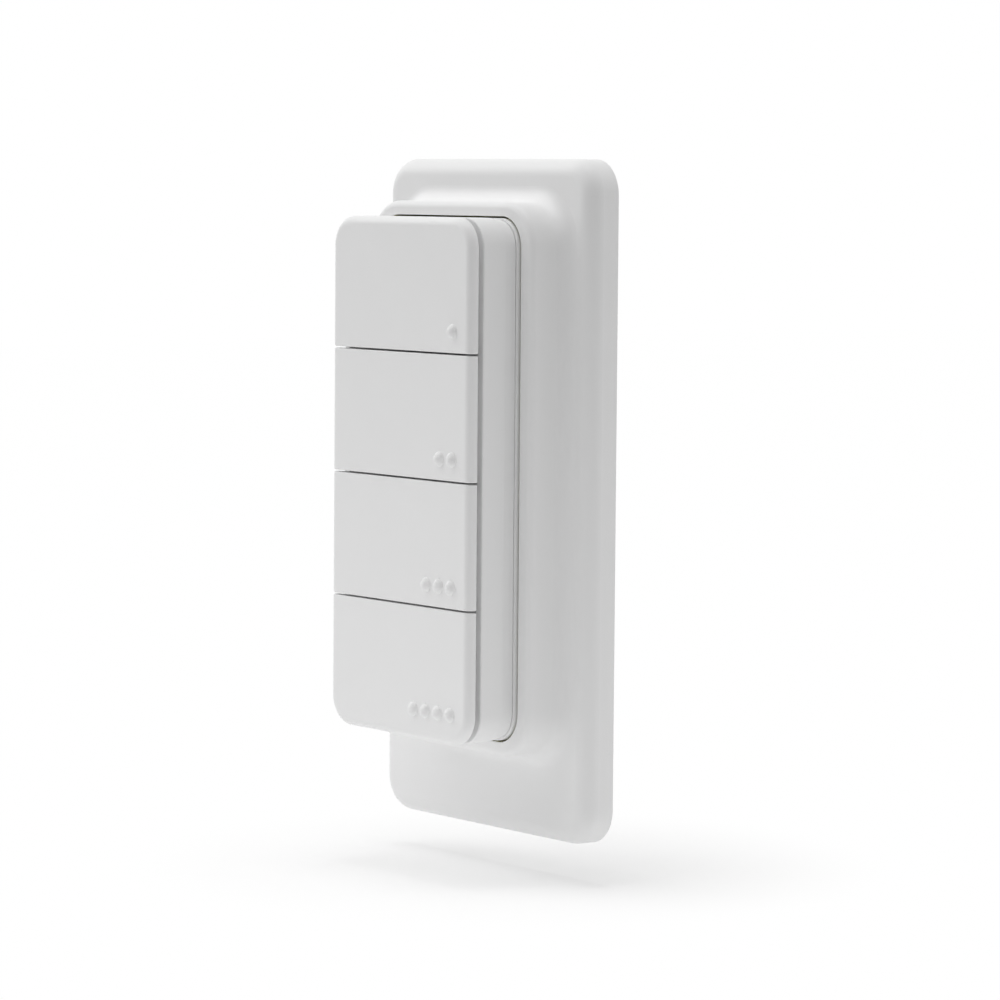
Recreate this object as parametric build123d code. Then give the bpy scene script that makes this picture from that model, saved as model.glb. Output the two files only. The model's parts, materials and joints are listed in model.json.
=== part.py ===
from build123d import *
import os

# A four-key wireless remote docked in its wall plate.
# The wall is the plane Y = 0, the keys face -Y and +Z is up, in millimetres.
# "Off" values are distances off the wall, towards the viewer.

# Remote, outside
remote_width = 30.0
remote_height = 65.0
remote_depth = 13.0
remote_corner = 3.8

# Keys
key_count = 4
end_key_extra = 0.94
key_gap = 0.25
key_side = 1.26
key_edge_round = 1.0
key_gap_break = 0.1
key_groove = 0.81
key_travel = 0.4
skirt_inset = 1.45
skirt_gap_inset = 0.6
skirt_wall = 0.8
skirt_overlap = 0.15
stem_side_margin = 4.0
stem_end_margin = 2.9
stem_wall = 1.0
post_size = 2.8
hook_width = 4.0
hook_end_margin = 5.0
hook_reach = 0.6
hook_thickness = 0.6
hook_gap = 0.05

# Raised dots that number the keys
dot_diameter = 1.9
dot_height = 0.65
dot_pitch = 2.6
dot_root = 0.3
dot_right_inset = 3.65
dot_rise = 2.75

# Key carrier shell
taper_depth = 1.71
taper_inset = 0.3
shell_edge_break = 0.1
shell_wall = 1.6
rim_wall = 1.15
deck_drop = 0.75
deck_thickness = 1.0
stem_clearance = 0.2
seam = 0.07
lip_length = 1.3
lip_root = 0.6
lip_thickness = 0.9
lip_clearance = 0.1
snap_length = 7.0
snap_reach = 0.3
snap_height = 0.5
snap_clearance = 0.1
snap_end_margin = 14.5

# Rear cover
cover_depth = 5.85
cover_inset = 0.05
cover_wall = 1.35
cover_floor = 1.2
cover_edge_break = 0.6
notch_width = 8.0
notch_height = 0.7
notch_reach = 0.55
magnet_diameter = 8.0
magnet_thickness = 2.0
magnet_sink = 0.4
magnet_clearance = 0.05
magnet_end_margin = 10.5
collar_wall = 0.9
collar_height = 1.4

# Circuit board and what stands on it
board_drop = 1.6
board_thickness = 1.0
board_clearance = 0.4
stake_margin = 2.7
stake_size = 2.6
pin_radius = 0.7
pin_clearance = 0.15
stake_head_radius = 1.2
stake_head = 0.45
switch_size = 5.2
switch_height = 1.5
plunger_radius = 1.2
plunger_proud = 0.5
plunger_sunk = 0.6
plunger_clearance = 0.15
chip_size = 5.0
chip_height = 0.9
chip_drop = 7.2
crystal_width = 3.2
crystal_height = 2.5
crystal_thickness = 0.8
crystal_corner = 0.4
crystal_side = 6.5
antenna_width = 7.0
antenna_height = 2.0
antenna_thickness = 1.1
antenna_edge_margin = 1.0

# Coin cell and its contacts
cell_diameter = 20.0
cell_thickness = 3.2
cell_step = 0.5
cell_step_inset = 1.3
cell_edge_break = 0.4
contact_sheet = 0.3
contact_radius = 5.0
contact_slot = 1.6
clip_width = 8.0
clip_side_gap = 0.3
clip_foot = 1.8

# Wall plate
plate_thickness = 4.4
plate_corner = 4.5
edge_round = 2.1
side_flat = 0.25
top_flat = 1.25
bottom_flat = 6.75
boss_height = 5.6
rim_side_land = 1.44
rim_end_land = 0.92
rim_round = 0.85
rim_inner_break = 0.1
root_fillet = 2.0
pocket_clearance = 0.18
floor_thickness = 2.2
back_relief = 1.7
back_wall = 2.0
rib_thickness = 1.2
rib_spread = 20.0
screw_spread = 40.0
screw_hole_radius = 1.8
screw_head_radius = 3.4
screw_boss_radius = 4.5

# Steel keeper tray that the magnets hold on to
tray_sheet = 0.5
tray_flange = 0.4
tray_fit = 0.05
tray_edge_break = 0.3
tray_below_rim = 0.2
tray_hole_margin = 0.5
dock_gap = 0.1

# Levels off the wall
floor_off = back_relief + floor_thickness
tray_off = floor_off + tray_sheet
rim_off = plate_thickness + boss_height
remote_back = tray_off + dock_gap
remote_face = remote_back + remote_depth
key_back = remote_face - key_side
shell_front = key_back - key_groove
cover_front = remote_back + cover_depth
shell_rear = cover_front + seam
deck_front = shell_front - deck_drop
deck_rear = deck_front - deck_thickness
board_front = deck_rear - board_drop
board_rear = board_front - board_thickness
switch_front = board_front + switch_height
plunger_front = switch_front + plunger_proud
hook_front = deck_rear - hook_gap
hook_rear = hook_front - hook_thickness
cell_front = board_rear - contact_sheet
cell_rear = cell_front - cell_thickness
cover_inside = remote_back + cover_floor

# Sizes that follow from the ones above
boss_side = pocket_clearance + rim_side_land + rim_round
boss_end = pocket_clearance + rim_end_land + rim_round
flank = root_fillet + edge_round
plate_width = remote_width + 2 * (boss_side + flank + side_flat)
plate_height = remote_height + 2 * (boss_end + flank) + top_flat + bottom_flat
rebate = pocket_clearance + tray_flange + tray_fit
remote_z = (bottom_flat - top_flat) / 2
key_pitch = (remote_height - 2 * end_key_extra) / key_count
stem_width = remote_width - 2 * stem_side_margin
stem_height = key_pitch - 2 * stem_end_margin
lip_inset = cover_inset + cover_wall + lip_clearance
board_inset = lip_inset + lip_thickness + board_clearance
board_top = remote_z + remote_height / 2 - board_inset
board_right = remote_width / 2 - board_inset


def key_line(step):
    """Height of a dividing line between two keys, counted from the top key down."""
    return remote_z + key_pitch * (key_count / 2 - step)


def key_centre(step):
    """Height of a key's stem and switch."""
    return key_line(step + 0.5)


def slab(outline, low, high):
    """Solid of an outline drawn on the wall, from one distance off the wall to another."""
    return extrude(Plane.XZ.offset(low) * outline, amount=high - low)


def disc(radius, low, high, x=0.0, z=0.0):
    return slab(Pos(x, z) * Circle(radius), low, high)


def bar(width, height, low, high, x=0.0, z=0.0):
    return slab(Pos(x, z) * Rectangle(width, height), low, high)


def remote_outline(inset):
    """The remote's rounded outline, drawn in from its side by an inset."""
    width = remote_width - 2 * inset
    height = remote_height - 2 * inset
    return Pos(0, remote_z) * RectangleRounded(width, height, remote_corner - inset)


def front_face(solid):
    return solid.faces().sort_by(Axis.Y)[0]


def back_face(solid):
    return solid.faces().sort_by(Axis.Y)[-1]


def screw_heights():
    return [remote_z - screw_spread / 2, remote_z + screw_spread / 2]


def magnet_heights():
    reach = remote_height / 2 - magnet_end_margin
    return [remote_z + reach, remote_z - reach]


def stake_places():
    """Posts stand in the webs between the keys' openings, left and right."""
    lines = [key_line(step) for step in (1, key_count - 1)]
    return [(side * (board_right - stake_margin), z) for side in (-1, 1) for z in lines]


def snap_places():
    reach = remote_height / 2 - snap_end_margin
    return [(side, remote_z + end * reach) for side in (-1, 1) for end in (-1, 1)]


def back_ribs():
    """Ribs and screw bosses that stay standing in the hollow back of the plate."""
    ribs = bar(rib_thickness, plate_height, 0, back_relief, x=rib_spread / 2)
    ribs += bar(rib_thickness, plate_height, 0, back_relief, x=-rib_spread / 2)
    ribs += bar(plate_width, rib_thickness, 0, back_relief)
    for z in screw_heights():
        ribs += bar(plate_width, rib_thickness, 0, back_relief, z=z)
        ribs += disc(screw_boss_radius, 0, back_relief, z=z)
    return ribs


def make_wall_plate():
    """Moulded plate whose raised rim holds the remote, hollow and ribbed behind."""
    plate = slab(RectangleRounded(plate_width, plate_height, plate_corner), 0, plate_thickness)
    plate = fillet(front_face(plate).edges(), edge_round)
    boss_width = remote_width + 2 * boss_side
    boss_height_up = remote_height + 2 * boss_end
    boss_face = Pos(0, remote_z) * RectangleRounded(boss_width, boss_height_up, remote_corner + boss_end)
    boss = slab(boss_face, back_relief, rim_off)
    boss = fillet(front_face(boss).edges(), rim_round)
    body = plate + boss
    flat = body.faces().filter_by(Axis.Y).sort_by(lambda f: abs(f.center().Y + plate_thickness))[0]
    body = fillet(flat.inner_wires()[0].edges(), root_fillet)
    body -= slab(remote_outline(-pocket_clearance), floor_off, rim_off)
    body = chamfer(front_face(body).inner_wires()[0].edges(), rim_inner_break)
    body -= slab(remote_outline(-rebate), floor_off, rim_off - tray_below_rim)
    hollow_width = plate_width - 2 * back_wall
    hollow_height = plate_height - 2 * back_wall
    hollow = slab(RectangleRounded(hollow_width, hollow_height, plate_corner - back_wall), 0, back_relief)
    body -= hollow - back_ribs()
    head_depth = screw_head_radius - screw_hole_radius
    for z in screw_heights():
        body -= disc(screw_hole_radius, 0, floor_off, z=z)
        cone = Cone(screw_hole_radius, screw_head_radius, head_depth)
        body -= Pos(0, -(floor_off - head_depth / 2), z) * Rot(90, 0, 0) * cone
    return body


def make_keeper_tray():
    """Pressed steel tray moulded into the pocket's wall, with room for the screw heads."""
    tray_front = rim_off - tray_below_rim - tray_fit
    tray = slab(remote_outline(tray_fit - rebate), floor_off, tray_front)
    tray = chamfer(back_face(tray).edges(), tray_edge_break)
    tray -= slab(remote_outline(-pocket_clearance), tray_off, tray_front)
    for z in screw_heights():
        tray -= disc(screw_head_radius + tray_hole_margin, floor_off, tray_off, z=z)
    return tray


def make_base_shell():
    """Key carrier: rim, slotted deck, board posts and the lip that the rear cover snaps on to."""
    shell = slab(remote_outline(0), shell_rear, shell_front)
    shell = chamfer(front_face(shell).edges(), shell_edge_break)
    rear = back_face(shell)
    shell = chamfer(rear.edges(), taper_inset, taper_depth, reference=rear)
    shell -= slab(remote_outline(rim_wall), deck_front, shell_front)
    shell -= slab(remote_outline(shell_wall), shell_rear, deck_rear)
    opening_width = stem_width + 2 * stem_clearance
    opening_height = stem_height + 2 * stem_clearance
    for step in range(key_count):
        shell -= bar(opening_width, opening_height, deck_rear, deck_front, z=key_centre(step))
    lip_low = shell_rear - lip_length
    lip_ring = remote_outline(lip_inset) - remote_outline(lip_inset + lip_thickness)
    shell += slab(lip_ring, lip_low, shell_rear + lip_root)
    for side, z in snap_places():
        x = side * (remote_width / 2 - lip_inset)
        shell += bar(2 * snap_reach, snap_length, lip_low, lip_low + snap_height, x=x, z=z)
    for x, z in stake_places():
        shell += bar(stake_size, stake_size, board_front, deck_rear, x, z)
        shell += disc(pin_radius, board_rear - stake_head, board_front, x, z)
        shell += disc(stake_head_radius, board_rear - stake_head, board_rear, x, z)
    return shell


def make_rear_cover():
    """Tray that closes the remote from behind and carries the magnets in collars."""
    cover = slab(remote_outline(cover_inset), remote_back, cover_front)
    cover = chamfer(back_face(cover).edges(), cover_edge_break)
    cover -= slab(remote_outline(cover_inset + cover_wall), cover_inside, cover_front)
    snap_low = shell_rear - lip_length - snap_clearance
    snap_depth = snap_height + 2 * snap_clearance
    for side, z in snap_places():
        x = side * (remote_width / 2 - lip_inset)
        reach = 2 * (snap_reach + snap_clearance)
        length = snap_length + 2 * snap_clearance
        cover -= bar(reach, length, snap_low, snap_low + snap_depth, x=x, z=z)
    notch_z = remote_z - remote_height / 2
    notch_low = cover_front - notch_height
    cover -= bar(notch_width, 2 * (cover_inset + notch_reach), notch_low, cover_front, z=notch_z)
    seat_radius = magnet_diameter / 2 + magnet_clearance
    for z in magnet_heights():
        cover += disc(seat_radius + collar_wall, cover_inside, cover_inside + collar_height, z=z)
        cover -= disc(seat_radius, cover_inside - magnet_sink, cover_inside + collar_height, z=z)
    return cover


def make_magnet(z):
    low = cover_inside - magnet_sink
    return disc(magnet_diameter / 2, low, low + magnet_thickness, z=z)


def make_circuit_board():
    board = slab(remote_outline(board_inset), board_rear, board_front)
    for x, z in stake_places():
        board -= disc(pin_radius + pin_clearance, board_rear, board_front, x, z)
    return board


def make_switch(step):
    """Low push switch: a square can whose bore guides the plunger."""
    z = key_centre(step)
    switch = bar(switch_size, switch_size, board_front, switch_front, z=z)
    bore_low = switch_front - plunger_sunk - key_travel - plunger_clearance
    switch -= disc(plunger_radius + plunger_clearance, bore_low, switch_front, z=z)
    return switch


def make_plunger(step):
    low = switch_front - plunger_sunk
    return disc(plunger_radius, low, plunger_front, z=key_centre(step))


def key_cell(step, inset):
    """Rectangle that one key takes of the face; only the sides between two keys are set in."""
    low = key_line(step + 1) + inset
    high = key_line(step) - inset
    if step == 0:
        high = remote_z + remote_height / 2
    if step == key_count - 1:
        low = remote_z - remote_height / 2
    return Pos(0, (low + high) / 2) * Rectangle(remote_width, high - low)


def key_top(step):
    """Cap plate with its rounded outer edge and crisp edges along the gaps."""
    face = slab(remote_outline(0), key_back, remote_face)
    face = fillet(front_face(face).edges(), key_edge_round)
    cap = face & slab(key_cell(step, key_gap / 2), key_back, remote_face)
    cuts = []
    if step > 0:
        cuts.append(key_line(step) - key_gap / 2)
    if step < key_count - 1:
        cuts.append(key_line(step + 1) + key_gap / 2)
    sharp = []
    for z in cuts:
        cut = cap.faces().filter_by(Axis.Z).sort_by(lambda f: abs(f.center().Z - z))[0]
        sharp += cut.edges().sort_by(Axis.Y)[:-1]
    return chamfer(sharp, key_gap_break)


def key_dots(step):
    """One raised dome for the first key, two for the second and so on, ending at the right."""
    radius = dot_diameter / 2
    sphere_radius = (radius ** 2 + dot_height ** 2) / (2 * dot_height)
    centre_off = remote_face + dot_height - sphere_radius
    z = key_line(step + 1) + dot_rise
    dots = []
    for place in range(step + 1):
        x = remote_width / 2 - dot_right_inset - place * dot_pitch
        ball = Pos(x, -centre_off, z) * Sphere(sphere_radius)
        dots.append(ball & disc(radius, remote_face - dot_root, remote_face + dot_height, x, z))
    return dots


def make_button(step):
    """Key cap with dots, light skirt, guide stem, snap hooks and the post over the switch."""
    cap = key_top(step)
    for dot in key_dots(step):
        cap += dot
    inner_inset = skirt_inset + skirt_wall
    skirt = remote_outline(skirt_inset) & key_cell(step, skirt_gap_inset)
    skirt -= remote_outline(inner_inset) & key_cell(step, skirt_gap_inset + skirt_wall)
    cap += slab(skirt, shell_front - skirt_overlap, key_back)
    z = key_centre(step)
    stem = Rectangle(stem_width, stem_height)
    stem -= Rectangle(stem_width - 2 * stem_wall, stem_height - 2 * stem_wall)
    cap += slab(Pos(0, z) * stem, hook_rear, key_back)
    cap += bar(post_size, post_size, plunger_front, key_back, z=z)
    for end in (-1, 1):
        for side in (-1, 1):
            hook_z = z + end * (stem_height - stem_wall + hook_reach) / 2
            width = stem_wall + hook_reach
            hook_x = side * (stem_width / 2 - hook_end_margin)
            cap += bar(hook_width, width, hook_rear, hook_front, hook_x, hook_z)
    return cap


def make_coin_cell():
    """Flat round cell: the wide can faces the rear cover, the narrower cap faces the board."""
    cell = disc(cell_diameter / 2, cell_rear, cell_front - cell_step, z=remote_z)
    cell = chamfer(back_face(cell).edges(), cell_edge_break)
    return cell + disc(cell_diameter / 2 - cell_step_inset, cell_front - cell_step, cell_front, z=remote_z)


def make_battery_contact():
    """Slotted spring disc on the board under the cell."""
    outline = Circle(contact_radius) - Rectangle(contact_slot, contact_radius)
    return slab(Pos(0, remote_z) * outline, cell_front, board_rear)


def make_battery_clip():
    """Bent strap over the cell from top to bottom, with feet on the board."""
    inside = cell_diameter / 2 + clip_side_gap
    outside = inside + contact_sheet
    top_low = cell_rear - contact_sheet
    clip = bar(clip_width, 2 * outside, top_low, cell_rear, z=remote_z)
    for end in (-1, 1):
        leg_z = remote_z + end * (inside + outside) / 2
        clip += bar(clip_width, contact_sheet, top_low, board_rear, z=leg_z)
        foot_z = remote_z + end * (inside + clip_foot / 2)
        clip += bar(clip_width, clip_foot, board_rear - contact_sheet, board_rear, z=foot_z)
    return clip


def make_radio_chip():
    return bar(chip_size, chip_size, board_rear - chip_height, board_rear, z=board_top - chip_drop)


def make_crystal():
    low = board_rear - crystal_thickness
    can = bar(crystal_width, crystal_height, low, board_rear, x=crystal_side, z=board_top - chip_drop)
    return fillet(can.edges().filter_by(Axis.Y), crystal_corner)


def make_antenna():
    z = board_top - antenna_edge_margin - antenna_height / 2
    x = board_right - antenna_edge_margin - antenna_width / 2
    return bar(antenna_width, antenna_height, board_rear - antenna_thickness, board_rear, x=x, z=z)


def all_pieces():
    pieces = {
        "wall_plate": make_wall_plate(),
        "keeper_tray": make_keeper_tray(),
        "base_shell": make_base_shell(),
        "rear_cover": make_rear_cover(),
        "circuit_board": make_circuit_board(),
        "coin_cell": make_coin_cell(),
        "battery_contact": make_battery_contact(),
        "battery_clip": make_battery_clip(),
        "radio_chip": make_radio_chip(),
        "crystal": make_crystal(),
        "antenna": make_antenna(),
    }
    for name, z in zip(("magnet_upper", "magnet_lower"), magnet_heights()):
        pieces[name] = make_magnet(z)
    for step in range(key_count):
        pieces[f"button_{step + 1}"] = make_button(step)
        pieces[f"plunger_{step + 1}"] = make_plunger(step)
        pieces[f"switch_{step + 1}"] = make_switch(step)
    return pieces


os.makedirs("parts", exist_ok=True)
for node, solid in all_pieces().items():
    export_step(solid, f"parts/{node}.step")
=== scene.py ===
import json
import math

import bpy
from mathutils import Matrix, Vector


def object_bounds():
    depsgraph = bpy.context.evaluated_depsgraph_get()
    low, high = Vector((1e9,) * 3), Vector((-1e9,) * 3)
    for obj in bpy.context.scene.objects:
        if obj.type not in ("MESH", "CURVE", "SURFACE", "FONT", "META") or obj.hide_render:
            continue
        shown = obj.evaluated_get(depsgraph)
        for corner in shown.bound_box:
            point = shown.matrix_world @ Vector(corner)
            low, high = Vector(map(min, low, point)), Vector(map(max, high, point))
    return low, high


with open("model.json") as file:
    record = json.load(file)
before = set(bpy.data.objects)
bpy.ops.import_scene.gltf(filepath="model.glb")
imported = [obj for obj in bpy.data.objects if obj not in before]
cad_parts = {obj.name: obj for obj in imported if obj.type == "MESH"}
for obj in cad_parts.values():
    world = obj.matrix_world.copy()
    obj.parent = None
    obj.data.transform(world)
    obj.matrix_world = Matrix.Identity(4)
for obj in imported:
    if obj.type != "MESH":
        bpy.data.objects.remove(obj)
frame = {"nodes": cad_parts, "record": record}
cad_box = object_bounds()

# Camera, solved from the key gaps and outer edges: metres, degrees, and millimetres for lens and sensor
CAMERA_PLACE = Vector((0.43643, -0.32286, 0.03974))
CAMERA_YAW = 53.6514
CAMERA_PITCH = 4.272
CAMERA_ROLL = -0.451
CAMERA_LENS = 153.6
SENSOR_WIDTH = 36.0

# Room and floor: the light of the room, and the share of plain white in the floor, near and far
WORLD_LIGHT = 0.250
FLOOR_DROP = 0.005
FLOOR_HEIGHT = cad_box[0][2] - FLOOR_DROP
FLOOR_SIZE = 3.0
FLOOR_TONE = 0.8
FLOOR_WHITE = 0.46
FLOOR_FAR_WHITE = 0.998
FLOOR_FADE_START = 0.01
FLOOR_FADE_END = 0.05

# Lamps: name, place, target, width and height in metres, power in watts
MIDDLE = (0.0, 0.0, 0.0)
LOWER_MIDDLE = (0.0, -0.01, -0.02)
FLOOR_CARD_PLACE = (0.01, -0.02, FLOOR_HEIGHT + 0.001)
FLOOR_CARD_TARGET = (0.01, -0.02, 0.2)
LAMPS = (
    ("overhead", (0.0, 0.0, 0.5), MIDDLE, 0.1, 0.1, 0.61),
    ("top_front", (-0.15, -0.25, 0.7), MIDDLE, 0.6, 0.6, 1.68),
    ("left", (-0.7, -0.35, 0.45), MIDDLE, 0.5, 0.5, 1.93),
    ("right_back", (0.75, 0.5, 0.15), MIDDLE, 0.5, 0.5, 0.47),
    ("far_back", (0.45, 0.85, 0.3), MIDDLE, 0.5, 0.5, 1.42),
    ("front_card", (-0.03, -0.12, -0.02), LOWER_MIDDLE, 0.2, 0.03, 0.0131),
    ("right_card", (0.13, -0.02, -0.02), LOWER_MIDDLE, 0.2, 0.03, 0.0100),
    ("floor_card", FLOOR_CARD_PLACE, FLOOR_CARD_TARGET, 0.16, 0.16, 0.0149),
)

# White plastic of the plate, the remote's shells and the keys
PLASTIC_SLOTS = ("plate_plastic", "shell_plastic", "key_plastic")
PLASTIC_TONE = 0.90
PLASTIC_TONE_SWING = 0.012
PLASTIC_ROUGHNESS = 0.55
PLASTIC_ROUGHNESS_SWING = 0.05
PLASTIC_IOR = 1.46
PLASTIC_CLOUD_SCALE = 60.0
PLASTIC_GRAIN_SCALE = 5200.0
PLASTIC_GRAIN_DEPTH = 0.000012

# Yellow passivated zinc of the keeper tray
ZINC_THICK_FILM = (0.60, 0.58, 0.15)
ZINC_THIN_FILM = (0.55, 0.53, 0.26)
ZINC_METALLIC = 0.6

# Solder mask of the circuit board
BOARD_MASK = (0.02, 0.11, 0.045)
BOARD_TRACE = (0.04, 0.19, 0.08)

# Rolled or drawn metals: dark tone, light tone, and the stretch of the lines along x, y and z
BRUSHED_SLOTS = {
    "cell_steel": ((0.5, 0.5, 0.48), (0.7, 0.7, 0.68), (1, 1, 0.05)),
    "contact_metal": ((0.6, 0.5, 0.3), (0.8, 0.7, 0.46), (0.05, 1, 1)),
    "magnet_nickel": ((0.58, 0.57, 0.55), (0.74, 0.73, 0.71), (1, 1, 1)),
}

# Resin and ceramic: dark tone, light tone, scale of the grain, mean roughness
GRAINY_SLOTS = {
    "chip_resin": ((0.015, 0.015, 0.017), (0.04, 0.04, 0.045), 6000.0, 0.5),
    "antenna_ceramic": ((0.6, 0.59, 0.55), (0.75, 0.74, 0.7), 5000.0, 0.6),
}
GRAINY_ROUGHNESS_SWING = 0.06


def new_material(name):
    """Empty node material with a principled shader on its output."""
    material = bpy.data.materials.new(name)
    material.use_nodes = True
    nodes = material.node_tree.nodes
    nodes.clear()
    output = nodes.new("ShaderNodeOutputMaterial")
    shader = nodes.new("ShaderNodeBsdfPrincipled")
    material.node_tree.links.new(shader.outputs["BSDF"], output.inputs["Surface"])
    return material, nodes, material.node_tree.links, shader


def object_coordinates(nodes):
    """Place on the object in metres."""
    return nodes.new("ShaderNodeTexCoord").outputs["Object"]


def noise(nodes, links, vector, scale, detail=3.0):
    """Cloudy 0 to 1 pattern."""
    texture = nodes.new("ShaderNodeTexNoise")
    texture.inputs["Scale"].default_value = scale
    texture.inputs["Detail"].default_value = detail
    links.new(vector, texture.inputs["Vector"])
    return texture.outputs["Fac"]


def remap(nodes, links, value, low, high):
    """Stretch a 0 to 1 pattern on to a range."""
    node = nodes.new("ShaderNodeMapRange")
    node.inputs["To Min"].default_value = low
    node.inputs["To Max"].default_value = high
    links.new(value, node.inputs["Value"])
    return node.outputs["Result"]


def two_tone(nodes, links, value, first, second):
    """Colour that runs from first to second as the pattern goes from 0 to 1."""
    ramp = nodes.new("ShaderNodeValToRGB")
    ramp.color_ramp.elements[0].color = (*first, 1.0)
    ramp.color_ramp.elements[1].color = (*second, 1.0)
    links.new(value, ramp.inputs["Fac"])
    return ramp.outputs["Color"]


def bump(nodes, links, height, depth, shader):
    """Raise the surface by a 0 to 1 pattern that is depth metres deep."""
    node = nodes.new("ShaderNodeBump")
    node.inputs["Strength"].default_value = 1.0
    node.inputs["Distance"].default_value = depth
    links.new(height, node.inputs["Height"])
    links.new(node.outputs["Normal"], shader.inputs["Normal"])


def larger(nodes, links, first, second):
    """The larger of two values."""
    node = nodes.new("ShaderNodeMath")
    node.operation = "MAXIMUM"
    links.new(first, node.inputs[0])
    links.new(second, node.inputs[1])
    return node.outputs["Value"]


def satin_plastic(name):
    """White moulded plastic: fine spark-eroded grain with faint clouding in tone and gloss."""
    material, nodes, links, shader = new_material(name)
    place = object_coordinates(nodes)
    cloud = noise(nodes, links, place, PLASTIC_CLOUD_SCALE)
    dark = (PLASTIC_TONE - PLASTIC_TONE_SWING,) * 3
    light = (PLASTIC_TONE + PLASTIC_TONE_SWING,) * 3
    links.new(two_tone(nodes, links, cloud, dark, light), shader.inputs["Base Color"])
    grain = noise(nodes, links, place, PLASTIC_GRAIN_SCALE, detail=2.0)
    smooth = PLASTIC_ROUGHNESS - PLASTIC_ROUGHNESS_SWING
    rough = PLASTIC_ROUGHNESS + PLASTIC_ROUGHNESS_SWING
    links.new(remap(nodes, links, grain, smooth, rough), shader.inputs["Roughness"])
    bump(nodes, links, grain, PLASTIC_GRAIN_DEPTH, shader)
    shader.inputs["IOR"].default_value = PLASTIC_IOR
    return material


def zinc_steel(name):
    """Zinc on steel under a cloudy yellow passivation film."""
    material, nodes, links, shader = new_material(name)
    place = object_coordinates(nodes)
    cloud = noise(nodes, links, place, scale=240.0, detail=4.0)
    tone = two_tone(nodes, links, cloud, ZINC_THICK_FILM, ZINC_THIN_FILM)
    links.new(tone, shader.inputs["Base Color"])
    sparkle = noise(nodes, links, place, scale=9000.0)
    links.new(remap(nodes, links, sparkle, low=0.38, high=0.55), shader.inputs["Roughness"])
    bump(nodes, links, sparkle, depth=0.000004, shader=shader)
    shader.inputs["Metallic"].default_value = ZINC_METALLIC
    return material


def brushed_metal(name, dark, light, stretch):
    """Rolled or drawn metal with fine lines along one direction."""
    material, nodes, links, shader = new_material(name)
    mapping = nodes.new("ShaderNodeMapping")
    mapping.inputs["Scale"].default_value = stretch
    links.new(object_coordinates(nodes), mapping.inputs["Vector"])
    lines = noise(nodes, links, mapping.outputs["Vector"], scale=3000.0)
    links.new(two_tone(nodes, links, lines, dark, light), shader.inputs["Base Color"])
    links.new(remap(nodes, links, lines, low=0.22, high=0.4), shader.inputs["Roughness"])
    bump(nodes, links, lines, depth=0.000004, shader=shader)
    shader.inputs["Metallic"].default_value = 1.0
    return material


def board_laminate(name):
    """Green solder mask with faint raised traces."""
    material, nodes, links, shader = new_material(name)
    place = object_coordinates(nodes)
    traces = nodes.new("ShaderNodeTexWave")
    traces.inputs["Scale"].default_value = 220.0
    traces.inputs["Distortion"].default_value = 6.0
    traces.inputs["Detail"].default_value = 0.0
    links.new(place, traces.inputs["Vector"])
    tone = two_tone(nodes, links, traces.outputs["Fac"], BOARD_MASK, BOARD_TRACE)
    links.new(tone, shader.inputs["Base Color"])
    weave = noise(nodes, links, place, scale=2500.0)
    links.new(remap(nodes, links, weave, low=0.28, high=0.42), shader.inputs["Roughness"])
    bump(nodes, links, traces.outputs["Fac"], depth=0.00002, shader=shader)
    return material


def grainy_solid(name, dark, light, scale, roughness):
    """Moulded resin or fired ceramic with a dull fine grain."""
    material, nodes, links, shader = new_material(name)
    grain = noise(nodes, links, object_coordinates(nodes), scale)
    links.new(two_tone(nodes, links, grain, dark, light), shader.inputs["Base Color"])
    smooth = roughness - GRAINY_ROUGHNESS_SWING
    rough = roughness + GRAINY_ROUGHNESS_SWING
    links.new(remap(nodes, links, grain, smooth, rough), shader.inputs["Roughness"])
    bump(nodes, links, grain, depth=0.00001, shader=shader)
    return material


def slot_materials():
    """One finished material for each material slot of the record."""
    materials = {slot: satin_plastic(slot) for slot in PLASTIC_SLOTS}
    materials["zinc_steel"] = zinc_steel("zinc_steel")
    materials["board_laminate"] = board_laminate("board_laminate")
    for slot, (dark, light, stretch) in BRUSHED_SLOTS.items():
        materials[slot] = brushed_metal(slot, dark, light, stretch)
    for slot, (dark, light, scale, roughness) in GRAINY_SLOTS.items():
        materials[slot] = grainy_solid(slot, dark, light, scale, roughness)
    return materials


def dress_nodes():
    """Give every CAD node the material of its slot."""
    materials = slot_materials()
    for entry in frame["record"]["subparts"]:
        node = frame["nodes"][entry["node"]]
        node.data.materials.clear()
        node.data.materials.append(materials[entry["material_slot"]])


def seen_white(nodes, links):
    """1 for rays from the camera and for mirrored or refracted ones, 0 for light that bounces about."""
    path = nodes.new("ShaderNodeLightPath")
    direct = larger(nodes, links, path.outputs["Is Camera Ray"], path.outputs["Is Glossy Ray"])
    return larger(nodes, links, direct, path.outputs["Is Transmission Ray"])


def make_world():
    """White room that looks white and gives a low even light."""
    world = bpy.data.worlds.new("white_room")
    world.use_nodes = True
    bpy.context.scene.world = world
    nodes = world.node_tree.nodes
    links = world.node_tree.links
    background = nodes["Background"]
    background.inputs["Color"].default_value = (1.0, 1.0, 1.0, 1.0)
    strength = remap(nodes, links, seen_white(nodes, links), WORLD_LIGHT, 1.0)
    links.new(strength, background.inputs["Strength"])


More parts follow.
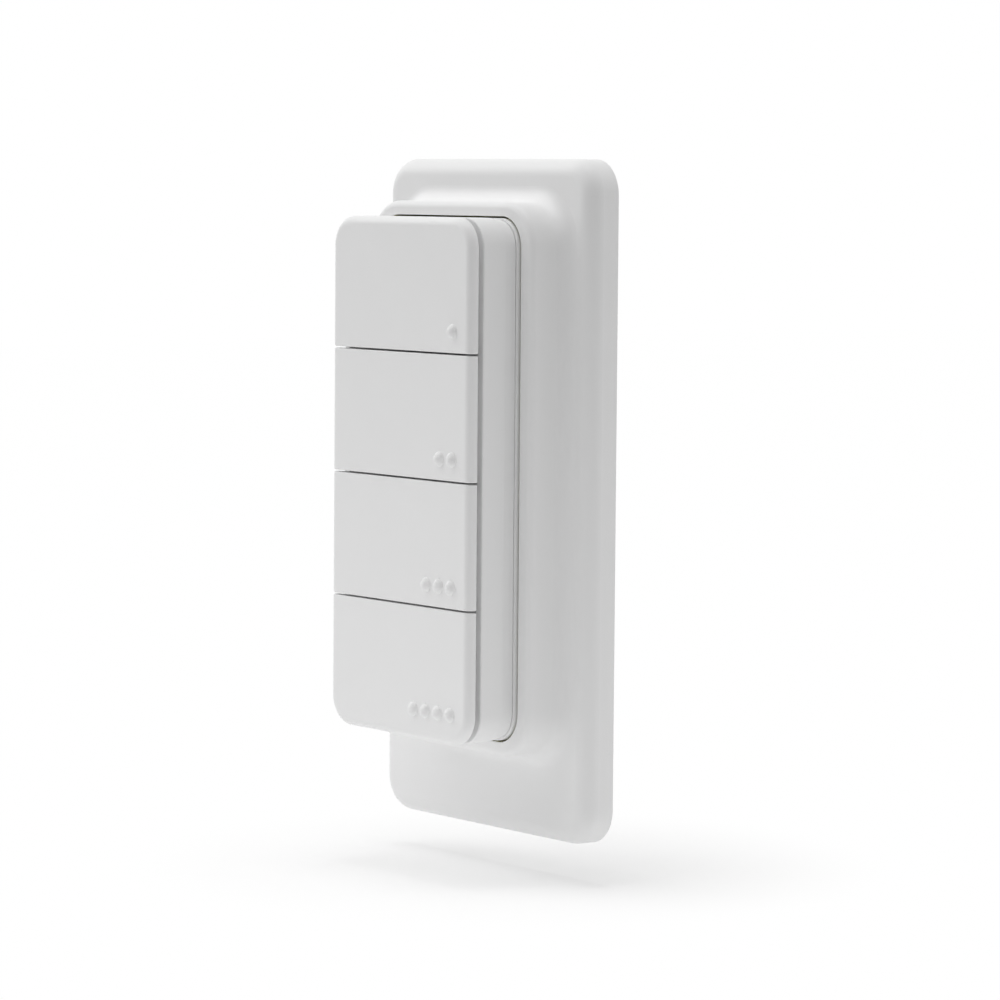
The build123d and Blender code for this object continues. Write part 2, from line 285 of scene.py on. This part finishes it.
def floor_material():
    """White floor that takes the shadow near the object and fades into the white room further out."""
    material = bpy.data.materials.new("floor_white")
    material.use_nodes = True
    nodes = material.node_tree.nodes
    links = material.node_tree.links
    nodes.clear()
    output = nodes.new("ShaderNodeOutputMaterial")
    matt = nodes.new("ShaderNodeBsdfDiffuse")
    white = nodes.new("ShaderNodeEmission")
    mix = nodes.new("ShaderNodeMixShader")
    seen = seen_white(nodes, links)
    links.new(remap(nodes, links, seen, FLOOR_TONE, 1.0), matt.inputs["Color"])
    distance = nodes.new("ShaderNodeVectorMath")
    distance.operation = "LENGTH"
    links.new(object_coordinates(nodes), distance.inputs[0])
    fade = nodes.new("ShaderNodeMapRange")
    fade.interpolation_type = "SMOOTHSTEP"
    fade.inputs["From Min"].default_value = FLOOR_FADE_START
    fade.inputs["From Max"].default_value = FLOOR_FADE_END
    fade.inputs["To Min"].default_value = FLOOR_WHITE
    fade.inputs["To Max"].default_value = FLOOR_FAR_WHITE
    links.new(distance.outputs["Value"], fade.inputs["Value"])
    share = nodes.new("ShaderNodeMath")
    share.operation = "MULTIPLY"
    links.new(fade.outputs["Result"], share.inputs[0])
    links.new(seen, share.inputs[1])
    links.new(share.outputs["Value"], mix.inputs["Fac"])
    links.new(matt.outputs["BSDF"], mix.inputs[1])
    links.new(white.outputs["Emission"], mix.inputs[2])
    links.new(mix.outputs["Shader"], output.inputs["Surface"])
    return material


def make_floor():
    """Plain floor a little below the object."""
    half = FLOOR_SIZE / 2
    mesh = bpy.data.meshes.new("floor")
    corners = [(-half, -half, 0), (half, -half, 0), (half, half, 0), (-half, half, 0)]
    mesh.from_pydata(corners, [], [(0, 1, 2, 3)])
    floor = bpy.data.objects.new("floor", mesh)
    floor.location = (0, 0, FLOOR_HEIGHT)
    mesh.materials.append(floor_material())
    bpy.context.scene.collection.objects.link(floor)


def area_light(name, place, target, width, height, power):
    """Soft rectangular lamp aimed at a point."""
    lamp = bpy.data.lights.new(name, "AREA")
    lamp.shape = "RECTANGLE"
    lamp.size = width
    lamp.size_y = height
    lamp.energy = power
    holder = bpy.data.objects.new(name, lamp)
    holder.visible_camera = False
    holder.location = place
    aim = Vector(target) - Vector(place)
    holder.rotation_euler = aim.to_track_quat("-Z", "Y").to_euler()
    bpy.context.scene.collection.objects.link(holder)


def make_lights():
    """Soft boxes above, at the left and behind, and low white cards that lift the lower half."""
    for lamp in LAMPS:
        area_light(*lamp)


def make_camera():
    """Camera turned by yaw about the vertical, then pitched down and rolled."""
    yaw = math.radians(CAMERA_YAW)
    pitch = math.radians(CAMERA_PITCH)
    roll = math.radians(CAMERA_ROLL)
    level_reach = math.cos(pitch)
    forward = Vector((-math.sin(yaw) * level_reach, math.cos(yaw) * level_reach, -math.sin(pitch)))
    level = Vector((math.cos(yaw), math.sin(yaw), 0.0))
    down = forward.cross(level)
    right = level * math.cos(roll) + down * math.sin(roll)
    up = level * math.sin(roll) - down * math.cos(roll)
    turn = Matrix((right, up, -forward)).transposed()
    data = bpy.data.cameras.new("camera")
    data.lens = CAMERA_LENS
    data.sensor_width = SENSOR_WIDTH
    camera = bpy.data.objects.new("camera", data)
    camera.matrix_world = Matrix.Translation(CAMERA_PLACE) @ turn.to_4x4()
    bpy.context.scene.collection.objects.link(camera)
    bpy.context.scene.camera = camera


dress_nodes()
make_world()
make_floor()
make_lights()
make_camera()
bpy.context.scene.view_settings.view_transform = "Standard"
